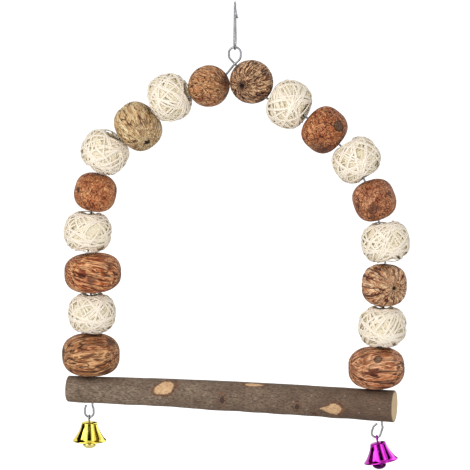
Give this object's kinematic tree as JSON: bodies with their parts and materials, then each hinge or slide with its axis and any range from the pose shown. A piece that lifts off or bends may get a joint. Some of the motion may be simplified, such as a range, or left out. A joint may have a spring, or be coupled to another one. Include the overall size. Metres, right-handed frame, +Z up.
{
  "type": "bird swing",
  "caption": "Bird swing: a branch perch on one bent wire arch strung with dried nuts and woven vine balls, with small bells under its ends and a wire hanging clip.",
  "frame": {"origin": "inside of the top bend of the hanging clip, where it rests on the cage bar", "axes": "+Z up, +X along the perch towards its thicker end and the purple bell, -Y towards the viewer of the picture"},
  "size_m": [0.2194, 0.036, 0.2867],
  "materials": {
    "clip_wire": "bright nickel plating",
    "arch_wire": "drawn steel wire, satin",
    "branch": "natural bark, matt",
    "nut_shell": "dried nut shell, furrowed, matt",
    "vine": "peeled vine, satin",
    "gold_metal": "gold-coloured metallic plating, mirror bright",
    "bright_wire": "bright plated wire",
    "purple_metal": "purple metallic plating, mirror bright",
    "dark_purple_metal": "dark purple metallic plating, bright"
  },
  "bodies": {
    "clip": {"hanger_clip": "clip_wire"},
    "swing": {"arch_wire": "arch_wire", "perch": "branch"},
    "left_nut_1_body": {"left_nut_1": "nut_shell"},
    "left_ball_2_body": {"left_ball_2": "vine"},
    "left_nut_3_body": {"left_nut_3": "nut_shell"},
    "left_ball_4_body": {"left_ball_4": "vine"},
    "left_nut_5_body": {"left_nut_5": "nut_shell"},
    "left_ball_6_body": {"left_ball_6": "vine"},
    "left_nut_7_body": {"left_nut_7": "nut_shell"},
    "left_ball_8_body": {"left_ball_8": "vine"},
    "left_nut_9_body": {"left_nut_9": "nut_shell"},
    "right_nut_1_body": {"right_nut_1": "nut_shell"},
    "right_ball_2_body": {"right_ball_2": "vine"},
    "right_nut_3_body": {"right_nut_3": "nut_shell"},
    "right_ball_4_body": {"right_ball_4": "vine"},
    "right_nut_5_body": {"right_nut_5": "nut_shell"},
    "right_ball_6_body": {"right_ball_6": "vine"},
    "right_nut_7_body": {"right_nut_7": "nut_shell"},
    "right_ball_8_body": {"right_ball_8": "vine"},
    "right_nut_9_body": {"right_nut_9": "nut_shell"},
    "gold_bell_body": {"gold_bell": "gold_metal", "gold_bell_hanger": "bright_wire"},
    "gold_clapper_body": {"gold_clapper": "gold_metal"},
    "purple_bell_body": {"purple_bell": "purple_metal", "purple_bell_hanger": "purple_metal"},
    "purple_clapper_body": {"purple_clapper": "dark_purple_metal"}
  },
  "joints": [
    {"name": "swing_hinge", "type": "hinge", "parent": "clip", "child": "swing", "pos_m": [0, 0, -0.0272], "axis": [1, 0, 0], "range_deg": [-60, 60]},
    {"name": "left_nut_1_spin", "type": "hinge", "parent": "swing", "child": "left_nut_1_body", "pos_m": [-0.09093, 0, -0.2221], "axis": [0, 0, -1], "continuous": true},
    {"name": "left_ball_2_spin", "type": "hinge", "parent": "swing", "child": "left_ball_2_body", "pos_m": [-0.09098, 0, -0.19585], "axis": [0.0227, 0, -0.9997], "continuous": true},
    {"name": "left_nut_3_spin", "type": "hinge", "parent": "swing", "child": "left_nut_3_body", "pos_m": [-0.09233, 0, -0.17064], "axis": [0.0557, 0, -0.9984], "continuous": true},
    {"name": "left_ball_4_spin", "type": "hinge", "parent": "swing", "child": "left_ball_4_body", "pos_m": [-0.09348, 0, -0.14484], "axis": [-0.0698, 0, -0.9976], "continuous": true},
    {"name": "left_nut_5_spin", "type": "hinge", "parent": "swing", "child": "left_nut_5_body", "pos_m": [-0.08846, 0, -0.11991], "axis": [-0.2088, 0, -0.978], "continuous": true},
    {"name": "left_ball_6_spin", "type": "hinge", "parent": "swing", "child": "left_ball_6_body", "pos_m": [-0.08223, 0, -0.09454], "axis": [-0.515, 0, -0.8572], "continuous": true},
    {"name": "left_nut_7_spin", "type": "hinge", "parent": "swing", "child": "left_nut_7_body", "pos_m": [-0.06234, 0, -0.07642], "axis": [-0.7586, 0, -0.6515], "continuous": true},
    {"name": "left_ball_8_spin", "type": "hinge", "parent": "swing", "child": "left_ball_8_body", "pos_m": [-0.04115, 0, -0.05946], "axis": [-0.9483, 0, -0.3173], "continuous": true},
    {"name": "left_nut_9_spin", "type": "hinge", "parent": "swing", "child": "left_nut_9_body", "pos_m": [-0.0164, 0, -0.05161], "axis": [-0.8192, 0, -0.5736], "continuous": true},
    {"name": "right_nut_1_spin", "type": "hinge", "parent": "swing", "child": "right_nut_1_body", "pos_m": [0.09254, 0, -0.22245], "axis": [0, 0, -1], "continuous": true},
    {"name": "right_ball_2_spin", "type": "hinge", "parent": "swing", "child": "right_ball_2_body", "pos_m": [0.09257, 0, -0.19664], "axis": [-0.014, 0, -0.9999], "continuous": true},
    {"name": "right_nut_3_spin", "type": "hinge", "parent": "swing", "child": "right_nut_3_body", "pos_m": [0.09355, 0, -0.17086], "axis": [-0.039, 0, -0.9992], "continuous": true},
    {"name": "right_ball_4_spin", "type": "hinge", "parent": "swing", "child": "right_ball_4_body", "pos_m": [0.09413, 0, -0.1441], "axis": [0.153, 0, -0.9882], "continuous": true},
    {"name": "right_nut_5_spin", "type": "hinge", "parent": "swing", "child": "right_nut_5_body", "pos_m": [0.08553, 0, -0.11909], "axis": [0.3415, 0, -0.9399], "continuous": true},
    {"name": "right_ball_6_spin", "type": "hinge", "parent": "swing", "child": "right_ball_6_body", "pos_m": [0.07578, 0, -0.09421], "axis": [0.585, 0, -0.8111], "continuous": true},
    {"name": "right_nut_7_spin", "type": "hinge", "parent": "swing", "child": "right_nut_7_body", "pos_m": [0.05524, 0, -0.07722], "axis": [0.7863, 0, -0.6179], "continuous": true},
    {"name": "right_ball_8_spin", "type": "hinge", "parent": "swing", "child": "right_ball_8_body", "pos_m": [0.03396, 0, -0.0613], "axis": [0.9171, 0, -0.3987], "continuous": true},
    {"name": "right_nut_9_spin", "type": "hinge", "parent": "swing", "child": "right_nut_9_body", "pos_m": [0.01034, 0, -0.04821], "axis": [0.6947, 0, -0.7193], "continuous": true},
    {"name": "gold_bell_swing", "type": "hinge", "parent": "swing", "child": "gold_bell_body", "pos_m": [-0.093, 0, -0.25873], "axis": [0, 1, 0], "range_deg": [-40, 40]},
    {"name": "gold_clapper_swing", "type": "hinge", "parent": "gold_bell_body", "child": "gold_clapper_body", "pos_m": [-0.093, 0, -0.26833], "axis": [0, 1, 0], "range_deg": [-30, 30]},
    {"name": "purple_bell_swing", "type": "hinge", "parent": "swing", "child": "purple_bell_body", "pos_m": [0.08896, 0, -0.26315], "axis": [0, 1, 0], "range_deg": [-30, 50]},
    {"name": "purple_clapper_swing", "type": "hinge", "parent": "purple_bell_body", "child": "purple_clapper_body", "pos_m": [0.09063, 0, -0.2726], "axis": [0, 1, 0], "range_deg": [-38, 22]}
  ]
}
